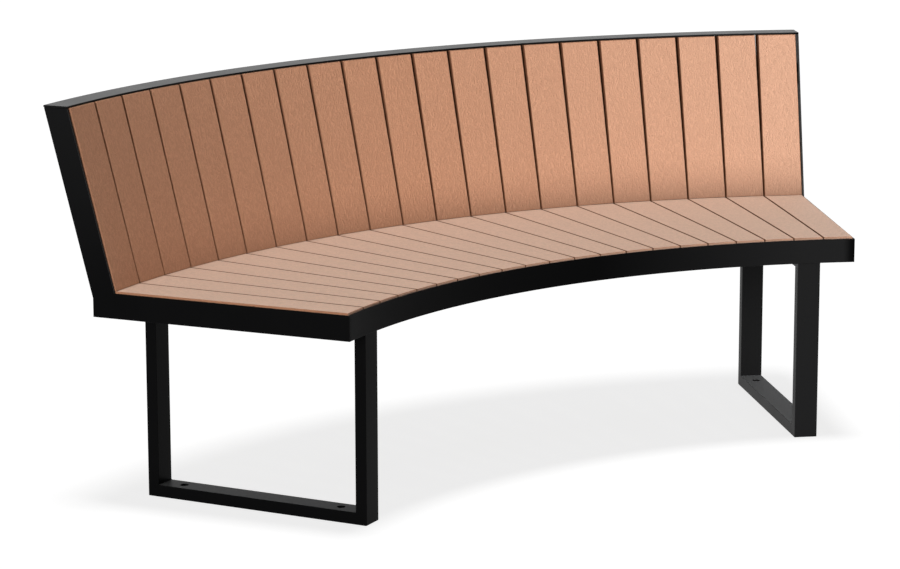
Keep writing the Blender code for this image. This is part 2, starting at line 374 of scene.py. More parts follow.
def knot_rings(tree, place):
    """Nested ovals round scattered points, which fade out at KNOT_REACH of a cell."""
    cells = add_node(tree, "ShaderNodeTexVoronoi",
                     {"Vector": stretched(tree, place, KNOT_SCALES), "Scale": 1.0})
    distance = cells.outputs["Distance"]
    near = map_range(tree, distance, 0.0, KNOT_REACH, 1.0, 0.0, "SMOOTHSTEP")
    return mix(tree, near, BETWEEN_KNOTS, thin_lines(tree, distance, RINGS_PER_KNOT))


print("lines to a swirl:", LINES_PER_SWIRL, " rings to a knot:", RINGS_PER_KNOT)

# %% [markdown]
# ## Tint and painted light on the boards
#
# The pressed hollows are a little darker, so the tint follows the height of the grain. Painted light
# and shade then change the colour from place to place, and four more attributes say where. One is 1
# on top of the seat, where a paler, greyer tint is painted in as the sheen of grazing light. One is
# 1 inside the gaps, where a dark tint is painted in as shade. Rise is the distance up a back board
# from
# the seat: near 0 a painted shade darkens the board where the back meets the seat, and the fourth
# attribute says how much.

# %% Tint and painted light
BOARD_TINTS = ((0.492, 0.245, 0.145), (0.545, 0.275, 0.164), (0.598, 0.304, 0.182))
# A paler, greyer tint, painted in as the sheen of grazing light.
SHEEN_PAINTED_TINTS = ((0.627, 0.438, 0.337), (0.678, 0.473, 0.365), (0.729, 0.509, 0.392))
TINT_STOPS = (0.38, 0.50, 0.62)
# A dark tint, painted in as shade inside the gaps and on the sides.
PAINTED_SHADE_TINT = (0.140, 0.060, 0.032, 1.0)
# Black for the painted shade at the foot of the back, then how far up it reaches and how it fades.
BLACK = (0.0, 0.0, 0.0, 1.0)
FOOT_SHADE_REACH = 0.110
FOOT_SHADE_CURVE = 2.0


def tint_ramp(tree, height, tints):
    """Turn a height into a colour, dark in the hollows."""
    ramp = add_node(tree, "ShaderNodeValToRGB", {"Fac": height})
    stops = ramp.color_ramp.elements
    stops.new(TINT_STOPS[1])
    for stop, share, tint in zip(stops, TINT_STOPS, tints):
        stop.position = share
        stop.color = (*tint, 1.0)
    return ramp.outputs["Color"]


def foot_shade_share(tree, rise, foot_shade):
    """Painted shade, strongest at the foot of a back board and gone at its reach."""
    near = map_range(tree, rise, 0.0, FOOT_SHADE_REACH, 1.0, 0.0)
    return calculate(tree, "MULTIPLY", calculate(tree, "POWER", near, FOOT_SHADE_CURVE), foot_shade)


def attribute(tree, name, output="Fac"):
    """A number, or a vector, that is stored on the board."""
    return add_node(tree, "ShaderNodeAttribute", attribute_name=name).outputs[output]


def board_colour(tree, height):
    """The tint of the grain, then the painted sheen, the painted foot shade and the painted gap
    shade.
    """
    sheened = blend(tree, attribute(tree, "painted_sheen"), tint_ramp(tree, height, BOARD_TINTS),
                   tint_ramp(tree, height, SHEEN_PAINTED_TINTS))
    foot_darkening = foot_shade_share(tree, attribute(tree, "rise"), attribute(tree, "foot_shade"))
    foot_shaded = blend(tree, foot_darkening, sheened, BLACK)
    return blend(tree, attribute(tree, "painted_shade"), foot_shaded, PAINTED_SHADE_TINT)


# How far up the back the painted shade at the foot reaches.
print("painted_foot_shades reach", round(1000.0 * FOOT_SHADE_REACH), "mm up the back")

# %% [markdown]
# ## The finish of the boards
#
# Each kind of grain has its share in one height, and that height drives both the colour and the
# relief. The sides inside the gaps have the same recipe without any shine. Light that grazes down a
# narrow gap would otherwise make a pale stripe of it.

# %% Board material
PATCH_SHARE = 0.07
FLECK_SHARE = 0.22
PORE_SHARE = 0.11
LINE_SHARE = 0.40
ARCH_SHARE = 0.05
KNOT_SHARE = 0.22
EMBOSS_DEPTH = 0.0023
EMBOSS_STRENGTH = 0.95
BOARD_ROUGHNESS = 0.60
BOARD_SPECULAR = 0.12


def weighted_sum(tree, parts):
    """Add up heights, each times its share."""
    total = 0.0
    for height, share in parts:
        total = calculate(tree, "MULTIPLY_ADD", height, share, total)
    return total


def board_material(name, specular):
    """The whole recipe of the boards: height, tint, weather and relief."""
    material, tree, shader = new_material(name)
    grain = attribute(tree, "grain", "Vector")
    height = weighted_sum(tree, [
        (board_noise(tree, grain, *PATCH_NOISE), PATCH_SHARE),
        (board_noise(tree, grain, *FLECK_NOISE), FLECK_SHARE),
        (board_noise(tree, grain, *PORE_NOISE), PORE_SHARE),
        (thin_lines(tree, board_noise(tree, grain, *SWIRL_NOISE), LINES_PER_SWIRL), LINE_SHARE),
        (growth_arches(tree, attribute(tree, "log", "Vector")), ARCH_SHARE),
        (knot_rings(tree, grain), KNOT_SHARE),
    ])
    fill_sockets(tree, shader, {
        "Base Color": board_colour(tree, height),
        "Roughness": BOARD_ROUGHNESS,
        "Specular IOR Level": specular,
        "Normal": relief(tree, height, EMBOSS_STRENGTH, EMBOSS_DEPTH),
    })
    return material


board_finish = board_material("board_composite", BOARD_SPECULAR)
side_finish = board_material("board_side", 0.0)
print("board finishes:", board_finish.name, "and", side_finish.name)

# %% [markdown]
# ## Painted highlight and sheen on the steel
#
# A dull dark grey is painted on the powder coat as a highlight towards the right end, where the back
# boards have their painted sheen too, but not on the end plate and the last bit of bar beside it. On
# the left end plate a weaker painted highlight grows up the post. A painted mask could say where,
# but a place's angle round the ring and its height say it too.
#
# A pale grey is painted on the tops of the feet as sheen, thin at the left and thicker at the right.
# It is found by height and by the way a face looks, so it needs no mask.

# %% Painted highlight and sheen
# Where the painted highlight on the steel grows, ends and climbs the left post.
HIGHLIGHT_GROWS = (math.radians(4.0), math.radians(25.0))
HIGHLIGHT_ENDS = (math.radians(28.8), math.radians(29.8))
POST_HIGHLIGHT_STARTS = (math.radians(-29.6), math.radians(-29.8))
POST_HIGHLIGHT_HEIGHTS = (0.44, 0.78)
POST_HIGHLIGHT = 0.32
# Where the painted sheen lies on the feet.
FOOT_SHEEN_HEIGHTS = (0.060, 0.045)
FOOT_SHEEN_SLOPES = (0.85, 0.97)


def painted_highlight_share(tree, place):
    """How strong the painted highlight is, from the place's angle round the ring and its height."""
    x, y, z = split(tree, place)
    angle = calculate(tree, "ARCTAN2", x, calculate(tree, "SUBTRACT", y, RING_Y))
    right = calculate(tree, "MULTIPLY", map_range(tree, angle, *HIGHLIGHT_GROWS),
                      map_range(tree, angle, *HIGHLIGHT_ENDS, 1.0, 0.0, "SMOOTHSTEP"))
    left_plate = map_range(tree, angle, *POST_HIGHLIGHT_STARTS)
    up_post = map_range(tree, z, *POST_HIGHLIGHT_HEIGHTS, 0.0, POST_HIGHLIGHT)
    return calculate(tree, "MULTIPLY_ADD", left_plate, up_post, right)


def foot_sheen_share(tree, place):
    """The painted sheen lies on level faces near the ground, which are the tops of the feet."""
    facing = split(tree, add_node(tree, "ShaderNodeNewGeometry").outputs["Normal"])
    near_ground = map_range(tree, split(tree, place)["Z"], *FOOT_SHEEN_HEIGHTS)
    return calculate(tree, "MULTIPLY", near_ground, map_range(tree, facing["Z"], *FOOT_SHEEN_SLOPES))


# The painted sheen on the feet lies below this height.
print("dust lies below", round(1000.0 * FOOT_SHEEN_HEIGHTS[0]), "mm")

# %% [markdown]
# ## The finish of the steel
#
# The frame is steel under black powder coat. Baked powder is a dull black with a fine orange-peel
# skin, and it only turns grey where light grazes it, as on the cap. That grey comes from the
# shader's own Fresnel, so the base colour stays almost black. The skin is a fine relief, and a slow
# change of roughness stands for the uneven film. Hands and sleeves have rubbed the cap smoother, so
# it gets the same recipe with a little more shine. The front edges of the end plates' posts are
# worn to a dark grey, and that is the same recipe once more with paler tints.

# %% Steel material
STEEL_TINTS = ((0.0008, 0.0008, 0.0009, 1.0), (0.0014, 0.0014, 0.0015, 1.0))
WORN_TINTS = ((0.034, 0.033, 0.033, 1.0), (0.044, 0.042, 0.041, 1.0))
# The tint of the painted highlight.
STEEL_HIGHLIGHT_TINT = (0.0110, 0.0110, 0.0112, 1.0)
# The pale tint of the painted sheen on the feet, its share at the left end, and its roughness.
FOOT_SHEEN_TINT = (0.186, 0.190, 0.193, 1.0)
FOOT_SHEEN_AT_LEFT = 0.30
FOOT_SHEEN_ROUGHNESS = 0.60
STEEL_ROUGHNESS = (0.30, 0.38)
STEEL_SPECULAR = 0.024
RUBBED_ROUGHNESS = (0.24, 0.32)
RUBBED_SPECULAR = 0.043
FILM_NOISE = {"Scale": 9.0, "Detail": 3.0}
PEEL_NOISE = {"Scale": 520.0, "Detail": 2.0}
PEEL_DEPTH = 0.00012
PEEL_STRENGTH = 0.15


def steel_material(name, roughness, specular, film_tints=STEEL_TINTS):
    """Powder coat: an uneven film, the painted highlight, the painted sheen on the feet and the
    orange peel.
    """
    material, tree, shader = new_material(name)
    place = add_node(tree, "ShaderNodeTexCoord").outputs["Object"]
    film = add_node(tree, "ShaderNodeTexNoise", {"Vector": place, **FILM_NOISE}).outputs["Fac"]
    peel = add_node(tree, "ShaderNodeTexNoise", {"Vector": place, **PEEL_NOISE}).outputs["Fac"]
    painted_highlight = painted_highlight_share(tree, place)
    foot_sheen_strength = map_range(tree, painted_highlight, 0.0, 1.0, FOOT_SHEEN_AT_LEFT, 1.0)
    foot_sheen = calculate(tree, "MULTIPLY", foot_sheen_strength, foot_sheen_share(tree, place))
    highlighted = blend(tree, painted_highlight, blend(tree, film, *film_tints), STEEL_HIGHLIGHT_TINT)
    film_roughness = map_range(tree, film, 0.0, 1.0, *roughness)
    fill_sockets(tree, shader, {
        "Base Color": blend(tree, foot_sheen, highlighted, FOOT_SHEEN_TINT),
        "Roughness": mix(tree, foot_sheen, film_roughness, FOOT_SHEEN_ROUGHNESS),
        "Specular IOR Level": specular,
        "Normal": relief(tree, peel, PEEL_STRENGTH, PEEL_DEPTH),
    })
    return material


steel_finish = steel_material("black_powder_coat", STEEL_ROUGHNESS, STEEL_SPECULAR)
rubbed_finish = steel_material("rubbed_powder_coat", RUBBED_ROUGHNESS, RUBBED_SPECULAR)
worn_finish = steel_material("worn_powder_coat", STEEL_ROUGHNESS, STEEL_SPECULAR, WORN_TINTS)
print("steel finishes:", steel_finish.name, rubbed_finish.name, worn_finish.name)

# %% [markdown]
# ## Boards as they are sawn
#
# Both rows are made flat and straight first, the way boards leave the saw, and are turned to
# their place on the ring afterwards. Before the turn, the attributes are stored on the corners. The
# grain gets a random shift, so that every board has its own stretch of pattern, and the log a small
# one, so that the arches differ. The dice are seeded, so they fall the same way each time.

# %% Board sizes and grain
BOARD_COUNT = 21
BOARD_THICKNESS = 0.032
BOARD_ROUNDING = 0.0015
BOARD_ROUND_STEPS = 3
REAR_ROUNDING = 0.0004
SEAT_GAP = 0.0025
BACK_GAP = 0.0027
END_JOINT = 0.001
BOARD_UNDERSIDE = SEAT_HEIGHT - BOARD_THICKNESS
BOARD_PITCH = (ARC - 2.0 * (PLATE + FIT) / JUNCTION_RADIUS) / BOARD_COUNT
GRAIN_REACH = 40.0
LOG_ACROSS = 0.020
LOG_ALONG = 0.500
LOG_DEPTHS = (0.005, 0.045)
DICE_SEED = 21
dice = random.Random(DICE_SEED)


def board_angle(index):
    """The angle of a board's middle line, counted from the left end."""
    return (index - 0.5 * (BOARD_COUNT - 1)) * BOARD_PITCH


def note_grain(mesh, to_sawn):
    """Store every point's place in the board, and its place seen from the middle of the log."""
    shift = Vector((dice.uniform(0.0, GRAIN_REACH), dice.uniform(0.0, GRAIN_REACH), 0.0))
    middle = Vector((dice.uniform(-LOG_ACROSS, LOG_ACROSS), dice.uniform(-LOG_ALONG, LOG_ALONG),
                     dice.uniform(*LOG_DEPTHS)))
    total = sum((point.co for point in mesh.vertices), Vector())
    sawn_middle = to_sawn @ (total / len(mesh.vertices))
    grain = mesh.attributes.new("grain", "FLOAT_VECTOR", "POINT")
    log = mesh.attributes.new("log", "FLOAT_VECTOR", "POINT")
    for point, grain_value, log_value in zip(mesh.vertices, grain.data, log.data):
        grain_value.vector = to_sawn @ point.co + shift
        log_value.vector = to_sawn @ point.co - sawn_middle + middle


def ease_board(bm, on_face):
    """Round the edges of the face that shows, and only break the other edges."""
    ease(bm, BOARD_ROUNDING, BOARD_ROUND_STEPS,
         lambda edge: all(on_face(corner) for corner in edge.verts))
    ease(bm, REAR_ROUNDING, 1)


print("one board every", round(math.degrees(BOARD_PITCH), 3), "degrees")

# %% [markdown]
# ## Painted light on the boards
#
# The painted sheen belongs to the face that shows. It is full on the seat, and in the back it only
# grows towards the right end. The seat's front ends have some painted sheen and some painted shade,
# with more shade towards the right.
#
# The painted shade belongs to the sides and their rounded edges. It is weaker on the two outermost
# sides, and in the left part of the back, where the photograph shows the gaps paler. The rounded
# edges there keep more of it than the sides. The painted shade at the foot of the back fades towards
# the left too.

# %% Painted light on the boards
ON_FACE = 0.00001
SIDEWAYS = 0.3
ON_SIDE = 0.95
# The numbers below give the painted shade in the gaps, the painted sheen, and the painted shade at
# the foot of the back.
OUTER_PAINTED_SHADE = 0.65
FULL_PAINTED_SHADE_FROM = 14
EDGE_PAINTED_SHADE = 0.22
BACK_PAINTED_SHEEN = 0.25
END_PAINTED_SHEEN = 0.6
END_PAINTED_SHADES = (0.0, 0.45)
FOOT_SHADE_MOST = 0.50
FOOT_SHADE_LEFT_OFF = 0.40


def painted_shade_share(kind, index, across):
    """How much painted shade a side gets, from the direction that the side faces."""
    has_neighbour = index < BOARD_COUNT - 1 if across > 0.0 else index > 0
    if not has_neighbour:
        return OUTER_PAINTED_SHADE
    if kind == "seat":
        return 1.0
    share = index / FULL_PAINTED_SHADE_FROM
    on_rounded_edge = abs(across) < ON_SIDE
    if on_rounded_edge:
        share += EDGE_PAINTED_SHADE
    return min(1.0, share)


def face_painted_sheen(kind, index):
    """How much painted sheen the face that shows gets."""
    if kind == "seat":
        return 1.0
    middle = 0.5 * (BOARD_COUNT - 1)
    return BACK_PAINTED_SHEEN * max(0.0, index - middle) / middle


def end_painted_shade(index):
    """The front ends get more painted shade towards the right."""
    return END_PAINTED_SHADES[0] + (END_PAINTED_SHADES[1] - END_PAINTED_SHADES[0]) * index / (BOARD_COUNT - 1)


def foot_shade_strength(kind, index):
    """Painted shade at the foot: full at the right end of the back, and weakest at the left end."""
    if kind == "seat":
        return 0.0
    from_right = 1.0 - index / (BOARD_COUNT - 1)
    return FOOT_SHADE_MOST - FOOT_SHADE_LEFT_OFF * from_right ** 2


def note_weather(mesh, kind, index, to_sawn):
    """Store painted sheen, painted shade, rise and painted foot shade. The face that shows is the
    highest plane, laid flat.
    """
    laid_flat = [to_sawn @ point.co for point in mesh.vertices]
    face_height = max(place.z for place in laid_flat)
    foot = min(place.y for place in laid_flat)
    values = {"painted_sheen": [], "painted_shade": [], "rise": [], "foot_shade": []}
    for point, place in zip(mesh.vertices, laid_flat):
        painted_sheen, painted_shade = 0.0, 0.0
        if place.z > face_height - ON_FACE:
            painted_sheen = face_painted_sheen(kind, index)
        elif kind == "seat" and place.y < foot + ON_FACE:
            painted_sheen, painted_shade = END_PAINTED_SHEEN, end_painted_shade(index)
        elif abs(point.normal.x) > SIDEWAYS:
            painted_shade = painted_shade_share(kind, index, point.normal.x)
        values["painted_sheen"].append(painted_sheen)
        values["painted_shade"].append(painted_shade)
        values["rise"].append(place.y - foot)
        values["foot_shade"].append(foot_shade_strength(kind, index))
    for name, column in values.items():
        mesh.attributes.new(name, "FLOAT", "POINT").data.foreach_set("value", column)


def dull_sides(mesh):
    """Give the sides the finish without shine."""
    mesh.materials.append(side_finish)
    for face in mesh.polygons:
        face.material_index = 1 if abs(face.normal.x) > SIDEWAYS else 0


# From the board printed here on, the back's gaps have their full painted shade.
print("the back's gaps have their full skin from board", FULL_PAINTED_SHADE_FROM + 1, "on")

# %% [markdown]
# ## The seat boards
#
# On the real bench each seat board is a wedge: its sides point at the ring's axis, less half a
# gap. A cube whose corners are moved to the wedge's corners gives that in one step, and easing
# rounds its edges. A subdivided plane would do as well, but it has no underside, and these boards
# are seen from below too.


# %% Seat boards
def seat_board_shape():
    """A wedge between the fascia and the rear faces of the back boards."""
    front = FASCIA_BACK + END_JOINT
    rear = back_radius(BOARD_UNDERSIDE, BOARD_THICKNESS) - FIT
    half_pitch = 0.5 * BOARD_PITCH
    bm = bmesh.new()
    bmesh.ops.create_cube(bm, size=2.0)
    for corner in bm.verts:
        distance = front if corner.co.y < 0.0 else rear
        corner.co.x *= distance * math.tan(half_pitch) - 0.5 * SEAT_GAP / math.cos(half_pitch)
        corner.co.y = distance
        corner.co.z = SEAT_HEIGHT if corner.co.z > 0.0 else BOARD_UNDERSIDE
    ease_board(bm, lambda corner: corner.co.z > SEAT_HEIGHT - ON_FACE)
    return bm


def place_board(bm, index, kind, to_sawn):
    """Finish a board, store its attributes, and turn it to its place on the ring."""
    board = finish_piece(bm, f"{kind}_slat_{index + 1:02d}", f"{kind}_boards", board_finish,
                         f"{kind}_board_{index + 1:02d}")
    note_grain(board.data, to_sawn)
    note_weather(board.data, kind, index, to_sawn)
    dull_sides(board.data)
    board.data.transform(TO_RING @ Matrix.Rotation(-board_angle(index), 4, "Z"))


for index in range(BOARD_COUNT):
    place_board(seat_board_shape(), index, "seat", Matrix.Identity(4))
print("seat boards:", BOARD_COUNT, "each", round(1000.0 * BOARD_THICKNESS), "mm thick")

# %% [markdown]
# ## The back boards
#
# The back boards are straight, not tapered: they stand on the seat boards and lean outwards, so
# the gaps between them open upwards. Their ends are cut level. The grain runs up the slope, so the
# matrix that lays a board down flat is the one that gives its grain.

# %% Back boards
BACK_BOARD_WIDTH = 2.0 * JUNCTION_RADIUS * math.tan(0.5 * BOARD_PITCH) - BACK_GAP
LAY_BACK_FLAT = Matrix.Rotation(LEAN - LEVEL, 4, "X")


def back_board_shape():
    """A leaning board between the seat and the cap."""
    bm = bmesh.new()
    bmesh.ops.create_cube(bm, size=2.0)
    for corner in bm.verts:
        height = CAP_BOTTOM - FIT if corner.co.z > 0.0 else SEAT_HEIGHT + FIT
        depth = BOARD_THICKNESS if corner.co.y > 0.0 else 0.0
        corner.co = (corner.co.x * 0.5 * BACK_BOARD_WIDTH, back_radius(height, depth), height)
    ease_board(bm, lambda corner: corner.co.y < back_radius(corner.co.z, 0.0) + ON_FACE)
    return bm


for index in range(BOARD_COUNT):
    place_board(back_board_shape(), index, "back", LAY_BACK_FLAT)
print("back boards:", BOARD_COUNT, "each", round(1000.0 * BACK_BOARD_WIDTH, 1), "mm wide")

# %% [markdown]
# ## Rolled bars
#
# The fascia, the rear band, the cap and the rails are flat bars rolled to the ring. Each is one
# small section swung round the ring's axis by the spin operator. The section starts at the right
# end plate, and spinning it by the whole arc leaves a closed bar. A curve with a bevel object
# would also do, but the spin keeps the section's corners exact.

# %% Rolled bars
BAR_STEPS = 126
STEEL_ROUNDING = 0.0006
STEEL_ROUND_STEPS = 2


def plate_to_plate(inner_radius):
    """Half the arc of a bar that butts against both end plates."""
    return 0.5 * ARC - math.asin(PLATE / inner_radius)


def rolled_bar(name, section, half_angle, node, finish=steel_finish):
    """Swing a section of (radius, height) corners round the ring."""
    bm = bmesh.new()
    corners = [bm.verts.new(ring_place(half_angle, radius, height)) for radius, height in section]
    face = bm.faces.new(corners)
    bmesh.ops.spin(bm, geom=[face] + list(face.edges) + corners, cent=(0.0, 0.0, 0.0),
                   axis=(0.0, 0.0, 1.0), dvec=(0.0, 0.0, 0.0), angle=2.0 * half_angle,
                   steps=BAR_STEPS, use_merge=False, use_duplicate=False)
    bmesh.ops.recalc_face_normals(bm, faces=bm.faces)
    ease(bm, STEEL_ROUNDING, STEEL_ROUND_STEPS)
    bmesh.ops.transform(bm, matrix=TO_RING, verts=bm.verts)
    finish_piece(bm, name, "black_steel", finish, node)
    print(name, "is", round(2.0 * half_angle * section[0][0], 3), "m round its inner edge")


def flat_section(inner, outer, bottom, top):
    """The four corners of an upright or a level bar."""
    return [(inner, bottom), (outer, bottom), (outer, top), (inner, top)]


print("bars are rolled in", BAR_STEPS, "steps")

# %% [markdown]
# ## The three bars that show
#
# The fascia closes the seat at the front, the band closes it at the rear, and the cap lies on the
# ends of the back boards. The cap runs the whole arc, over both end plates.

# %% Fascia, band and cap
HEEL_HEIGHT = 0.0384
HEEL_TOP = FRAME_BOTTOM + HEEL_HEIGHT
HEEL_RADIUS = back_radius(HEEL_TOP, FRAME_REAR)
BAND_RADIUS = HEEL_RADIUS - PLATE
CAP_RADIUS = back_radius(CAP_BOTTOM, BOARD_PROUD)

rolled_bar("rolled_fascia", flat_section(FRONT_RADIUS, FASCIA_BACK, FRAME_BOTTOM, FRAME_TOP),
           plate_to_plate(FRONT_RADIUS), "front_fascia")
rolled_bar("rolled_rear_band", flat_section(BAND_RADIUS, HEEL_RADIUS, FRAME_BOTTOM, HEEL_TOP),
           plate_to_plate(BAND_RADIUS), "rear_band")
rolled_bar("rolled_cap", flat_section(CAP_RADIUS, OUTER_RADIUS, CAP_BOTTOM, TOP_HEIGHT),
           0.5 * ARC, "top_cap", rubbed_finish)

# %% [markdown]
# ## The rails behind and below
#
# Three flat rails carry the seat boards. Two more follow the lean of the back, so their section
# is a tilted rectangle, and the bar that it makes is part of a cone. They are seen from behind
# and from below.

# %% Rails
RAIL_WIDTH = 0.050
SEAT_RAIL_THICKNESS = 0.010
BACK_RAIL_THICKNESS = 0.006
REAR_RAIL_REACH = 0.021
BACK_RAIL_PLACES = {"lower_back_rail": 0.085, "upper_back_rail": 0.290}
SEAT_RAIL_TOP = BOARD_UNDERSIDE - FIT
SEAT_RAIL_BOTTOM = SEAT_RAIL_TOP - SEAT_RAIL_THICKNESS
BACK_RAIL_NEAR = (BOARD_THICKNESS + FIT
                  + math.hypot(JUNCTION_RADIUS, 0.5 * BACK_BOARD_WIDTH) - JUNCTION_RADIUS)
BACK_RAIL_FAR = BACK_RAIL_NEAR + BACK_RAIL_THICKNESS
FRONT_RAIL_INNER = FASCIA_BACK + FIT
REAR_RAIL_OUTER = JUNCTION_RADIUS + REAR_RAIL_REACH
RAIL_MIDDLES = {
    "front_seat_rail": FRONT_RAIL_INNER + 0.5 * RAIL_WIDTH,
    "middle_seat_rail": 0.5 * (FRONT_RAIL_INNER + REAR_RAIL_OUTER),
    "rear_seat_rail": REAR_RAIL_OUTER - 0.5 * RAIL_WIDTH,
}

for name, middle in RAIL_MIDDLES.items():
    inner = middle - 0.5 * RAIL_WIDTH
    section = flat_section(inner, inner + RAIL_WIDTH, SEAT_RAIL_BOTTOM, SEAT_RAIL_TOP)
    rolled_bar(f"rolled_{name}", section, plate_to_plate(inner), name)
for name, along in BACK_RAIL_PLACES.items():
    low, high = along - 0.5 * RAIL_WIDTH, along + 0.5 * RAIL_WIDTH
    section = [back_point(low, BACK_RAIL_NEAR), back_point(low, BACK_RAIL_FAR),
               back_point(high, BACK_RAIL_FAR), back_point(high, BACK_RAIL_NEAR)]
    rolled_bar(f"rolled_{name}", section, plate_to_plate(section[0][0]), name)

# %% [markdown]
# ## Plates and tubes
#
# The end plates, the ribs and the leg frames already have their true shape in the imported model,
# down to the drilled feet. Only their edges and their shading need work. So each is copied, its
# loose triangles are merged, the flat ones are dissolved into whole faces, and its edges are eased.
# The tubes are not eased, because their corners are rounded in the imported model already.
#
# The front edge of each end plate's post is worn. A second material slot holds that finish, and the
# faces that get it are the ones above the seat that look forward.

# %% Plates and tubes
WELD_DISTANCE = 0.00001
FLAT_ANGLE = math.radians(0.5)
FACING = 0.6
SIDES = {"left": -1.0, "right": 1.0}
RIB_ANGLES = {"left": math.radians(-12.9), "centre": 0.0, "right": math.radians(12.9)}


def whole_twin(node, name, eased=True):
    """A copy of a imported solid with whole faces, and with eased edges unless it has them."""
    bm = bmesh.new()
    bm.from_mesh(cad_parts[node].data)
    bmesh.ops.remove_doubles(bm, verts=bm.verts, dist=WELD_DISTANCE)
    bmesh.ops.dissolve_limit(bm, angle_limit=FLAT_ANGLE, verts=bm.verts, edges=bm.edges)
    if eased:
        ease(bm, STEEL_ROUNDING, STEEL_ROUND_STEPS)
    twin = finish_piece(bm, name, "black_steel", steel_finish, node)
    print(name, "has", len(twin.data.polygons), "faces")
    return twin


def wear_front_edge(plate, angle):
    """The post's front edge, which hands and sleeves brush past, gets the worn finish."""
    forward = ring_place(angle, -math.cos(LEAN), math.sin(LEAN))
    plate.data.materials.append(worn_finish)
    worn = [face for face in plate.data.polygons
            if face.center.z > SEAT_HEIGHT and face.normal.dot(forward) > FACING]
    for face in worn:
        face.material_index = 1
    print(plate.name, "has", len(worn), "worn faces")


for word, side in SIDES.items():
    plate = whole_twin(f"{word}_end_plate", f"{word}_plate")
    wear_front_edge(plate, side * 0.5 * ARC)
    whole_twin(f"{word}_leg_frame", f"{word}_leg_loop", eased=False)
for word in RIB_ANGLES:
    whole_twin(f"{word}_rib", f"{word}_rib_plate")

# %% [markdown]
# ## A screw
#
# A screw is a button head with a socket: a short cone with a rounded rim, whose top face is sunk.
# A plain cylinder would do from afar, but the socket catches the light when the bench is seen from
# below.

# %% Screw head
HEAD_RADIUS = 0.00525
HEAD_TOP_RADIUS = 0.0036
HEAD_HEIGHT = 0.0033
HEAD_SIDES = 12
HEAD_ROUNDING = 0.0009
HEAD_ROUND_STEPS = 2
SOCKET_RIM = 0.0013
SOCKET_TAPER = 0.0001
SOCKET_DEPTH = 0.0018
SCREW_SPECULAR = 0.12
screw_finish = steel_material("blackened_screws", RUBBED_ROUGHNESS, SCREW_SPECULAR)


def top_face(bm):
    """The face whose middle is the highest."""
    return max(bm.faces, key=lambda face: face.calc_center_median().z)


def screw_head():
    """A button head that stands on the plane z = 0."""
    bm = bmesh.new()
    bmesh.ops.create_cone(bm, cap_ends=True, segments=HEAD_SIDES, radius1=HEAD_RADIUS,
                          radius2=HEAD_TOP_RADIUS, depth=HEAD_HEIGHT,
                          matrix=Matrix.Translation((0.0, 0.0, 0.5 * HEAD_HEIGHT)))
    round_edges(bm, list(top_face(bm).edges), HEAD_ROUNDING, HEAD_ROUND_STEPS)
    socket = top_face(bm)
    bmesh.ops.inset_region(bm, faces=[socket], thickness=SOCKET_RIM, depth=0.0)
    bmesh.ops.inset_region(bm, faces=[socket], thickness=SOCKET_TAPER, depth=-SOCKET_DEPTH)
    return make_mesh(bm, "screw_head")


print("a screw's head is", round(2000.0 * HEAD_RADIUS, 1), "mm wide")

# %% [markdown]
# ## Rows of screws
#
# Two screws through each rail hold each board, and they go in from below and from behind, so that
# none shows in front. The heads on one rail make one piece. Under the seat there is none where a
# leg's top bar or a rib is in the way.

# %% Rows of screws
MOST_TWIST = math.radians(60.0)
SCREW_PLACE = 0.27
TUBE_WIDTH = 0.050
RIB_THICKNESS = 0.008
LEG_ANGLE = math.radians(25.9)
LEG_HEADING = math.radians(26.9)
LEG_FRONT = FASCIA_BACK + 0.0008
LEG_REAR = JUNCTION_RADIUS - 0.0042
BEAD_RADIUS = 0.0022


def leg_line(side, radius):
    """A point on the middle line of a leg's top bar."""
    middle = 0.5 * (LEG_FRONT + LEG_REAR)
    return radial(side * LEG_ANGLE) * middle + radial(side * LEG_HEADING) * (radius - middle)


def under_a_bar(angle, radius):
    """Whether a leg's top bar or a rib covers this place."""
    place = radial(angle) * radius
    leg_room = 0.5 * TUBE_WIDTH + HEAD_RADIUS
    rib_room = 0.5 * RIB_THICKNESS + HEAD_RADIUS + BEAD_RADIUS
    for side in SIDES.values():
        if abs((place - leg_line(side, radius)).dot(tangent(side * LEG_HEADING))) < leg_room:
            return True
    return any(abs(place.dot(tangent(rib))) < rib_room for rib in RIB_ANGLES.values())


def rail_screws(name, radius, height, turn, covered=None):
    """Two heads a board in a row round the ring, on a rail's face, but none where it is covered."""
    head = screw_head()
    bm = bmesh.new()
    count = 0
    for index in range(BOARD_COUNT):
        for side in (-1.0, 1.0):
            angle = board_angle(index) + side * SCREW_PLACE * BOARD_PITCH
            twist = dice.uniform(0.0, MOST_TWIST)
            if covered and covered(angle, radius):
                continue
            first = len(bm.verts)
            bm.from_mesh(head)
            bm.verts.ensure_lookup_table()
            place = (TO_RING @ Matrix.Rotation(-angle, 4, "Z")
                     @ Matrix.Translation((0.0, radius, height))
                     @ Matrix.Rotation(turn, 4, "X") @ Matrix.Rotation(twist, 4, "Z"))
            bmesh.ops.transform(bm, matrix=place, verts=bm.verts[first:])
            count += 1
    bpy.data.meshes.remove(head)
    finish_piece(bm, name, "black_steel", screw_finish)
    print(name, "has", count, "heads")


for name, middle in RAIL_MIDDLES.items():
    rail_screws(f"{name}_screws", middle, SEAT_RAIL_BOTTOM, 2.0 * LEVEL, under_a_bar)
for name, along in BACK_RAIL_PLACES.items():
    radius, height = back_point(along, BACK_RAIL_FAR)
    rail_screws(f"{name}_screws", radius, height, -LEVEL - LEAN)

# %% [markdown]
# ## A weld bead
#
# The frame is welded, then coated, so the beads have the same black film. A bead lies in the corner
# of two pieces and is rippled, because a welder lays it drop by drop. A curve with a round bevel
# would be quicker, but smooth. Here a disc is pulled along in short steps, every other one a little
# thinner.

# %% Weld bead
BEAD_STEP = 0.0012
BEAD_SIDES = 8
THIN_BEAD_RADIUS = 0.82 * BEAD_RADIUS


